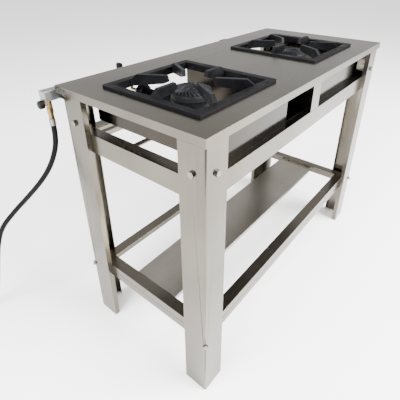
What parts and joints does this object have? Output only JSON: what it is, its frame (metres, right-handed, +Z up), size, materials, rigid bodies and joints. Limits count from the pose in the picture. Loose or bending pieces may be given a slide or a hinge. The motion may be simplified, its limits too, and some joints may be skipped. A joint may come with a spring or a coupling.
{
  "type": "propane burner stand",
  "caption": "Free-standing folded stainless stand with gas burners under lift-off cast grates, a storage shelf, a rear gas manifold with valves, and a hose.",
  "frame": {"origin": "centre of the bounding box of everything but the hose, on the floor", "axes": "+X along the long side, away from the gas inlet; +Y towards the valves; +Z up"},
  "size_m": [1.447, 0.7392, 0.7655],
  "materials": {
    "stainless": "warm brushed stainless sheet",
    "dark_stainless": "polished stainless that reflects the dark underside",
    "cast_iron": "matt cast iron with worn edges",
    "galvanised": "bluish galvanised tube",
    "zinc_bolt": "bright zinc-plated fasteners",
    "brass": "turned brass",
    "black_plastic": "black moulded knobs",
    "rubber": "black rubber gas hose",
    "ferrule": "crimped steel ferrule"
  },
  "bodies": {
    "stand": {"burner_bar_back": "stainless", "burner_bar_front": "stainless", "burner_bolts": "zinc_bolt", "burner_bowl_left": "cast_iron", "burner_bowl_right": "cast_iron", "centre_floor": "dark_stainless", "centre_plates": "dark_stainless", "corner_bolts": "zinc_bolt", "corner_brackets": "stainless", "corner_nuts": "zinc_bolt", "divider_rivets": "zinc_bolt", "end_plate_left": "dark_stainless", "end_plate_right": "dark_stainless", "face_bolts": "zinc_bolt", "face_nuts": "zinc_bolt", "frame_gussets": "stainless", "front_plate_left": "dark_stainless", "front_plate_right": "dark_stainless", "gas_manifold": "galvanised", "gas_pipes": "brass", "hose": "rubber", "hose_connector": "brass", "hose_ferrules": "ferrule", "hose_nut": "brass", "injectors": "brass", "inlet_fitting": "brass", "leg_back_left": "stainless", "leg_back_right": "stainless", "leg_front_left": "stainless", "leg_front_right": "stainless", "lower_rail_back": "stainless", "lower_rail_front": "stainless", "lower_rail_left": "stainless", "lower_rail_right": "stainless", "manifold_brackets": "galvanised", "manifold_caps": "galvanised", "shelf": "stainless", "shelf_tabs": "stainless", "top_border_back": "stainless", "top_border_front": "stainless", "top_border_left": "stainless", "top_border_right": "stainless", "top_centre_panel": "stainless", "upper_rail_back": "stainless", "upper_rail_front": "stainless", "upper_rail_left": "stainless", "upper_rail_right": "stainless", "valve_bodies": "brass", "window_divider": "stainless"},
    "left_valve": {"valve_knob_left": "black_plastic", "valve_stem_left": "zinc_bolt"},
    "right_valve": {"valve_knob_right": "black_plastic", "valve_stem_right": "zinc_bolt"},
    "inlet_tap": {"inlet_tap_knob": "black_plastic"},
    "left_shutter": {"air_shutter_left": "zinc_bolt"},
    "right_shutter": {"air_shutter_right": "zinc_bolt"},
    "left_grate": {"grate_left": "cast_iron"},
    "right_grate": {"grate_right": "cast_iron"},
    "left_crown": {"burner_crown_left": "cast_iron"},
    "right_crown": {"burner_crown_right": "cast_iron"}
  },
  "joints": [
    {"name": "left_valve_turn", "type": "hinge", "parent": "stand", "child": "left_valve", "pos_m": [-0.2385, 0.24573, 0.7215], "axis": [0, 1, 0], "range_deg": [-90, 90]},
    {"name": "right_valve_turn", "type": "hinge", "parent": "stand", "child": "right_valve", "pos_m": [0.2825, 0.24573, 0.7215], "axis": [0, 1, 0], "range_deg": [-90, 90]},
    {"name": "inlet_tap_turn", "type": "hinge", "parent": "stand", "child": "inlet_tap", "pos_m": [-0.509, 0.22123, 0.702], "axis": [1, 0, 0], "range_deg": [0, 90]},
    {"name": "left_shutter_turn", "type": "hinge", "parent": "stand", "child": "left_shutter", "pos_m": [-0.2685, 0.13773, 0.689], "axis": [0, 1, 0], "range_deg": [0, 45]},
    {"name": "left_grate_lift", "type": "slide", "parent": "stand", "child": "left_grate", "axis": [0, 0, 1], "range_m": [0, 0.12]},
    {"name": "left_crown_lift", "type": "slide", "parent": "stand", "child": "left_crown", "axis": [0, 0, 1], "range_m": [0, 0.008]},
    {"name": "right_shutter_turn", "type": "hinge", "parent": "stand", "child": "right_shutter", "pos_m": [0.2525, 0.13773, 0.689], "axis": [0, 1, 0], "range_deg": [0, 45]},
    {"name": "right_grate_lift", "type": "slide", "parent": "stand", "child": "right_grate", "axis": [0, 0, 1], "range_m": [0, 0.12]},
    {"name": "right_crown_lift", "type": "slide", "parent": "stand", "child": "right_crown", "axis": [0, 0, 1], "range_m": [0, 0.008]}
  ]
}
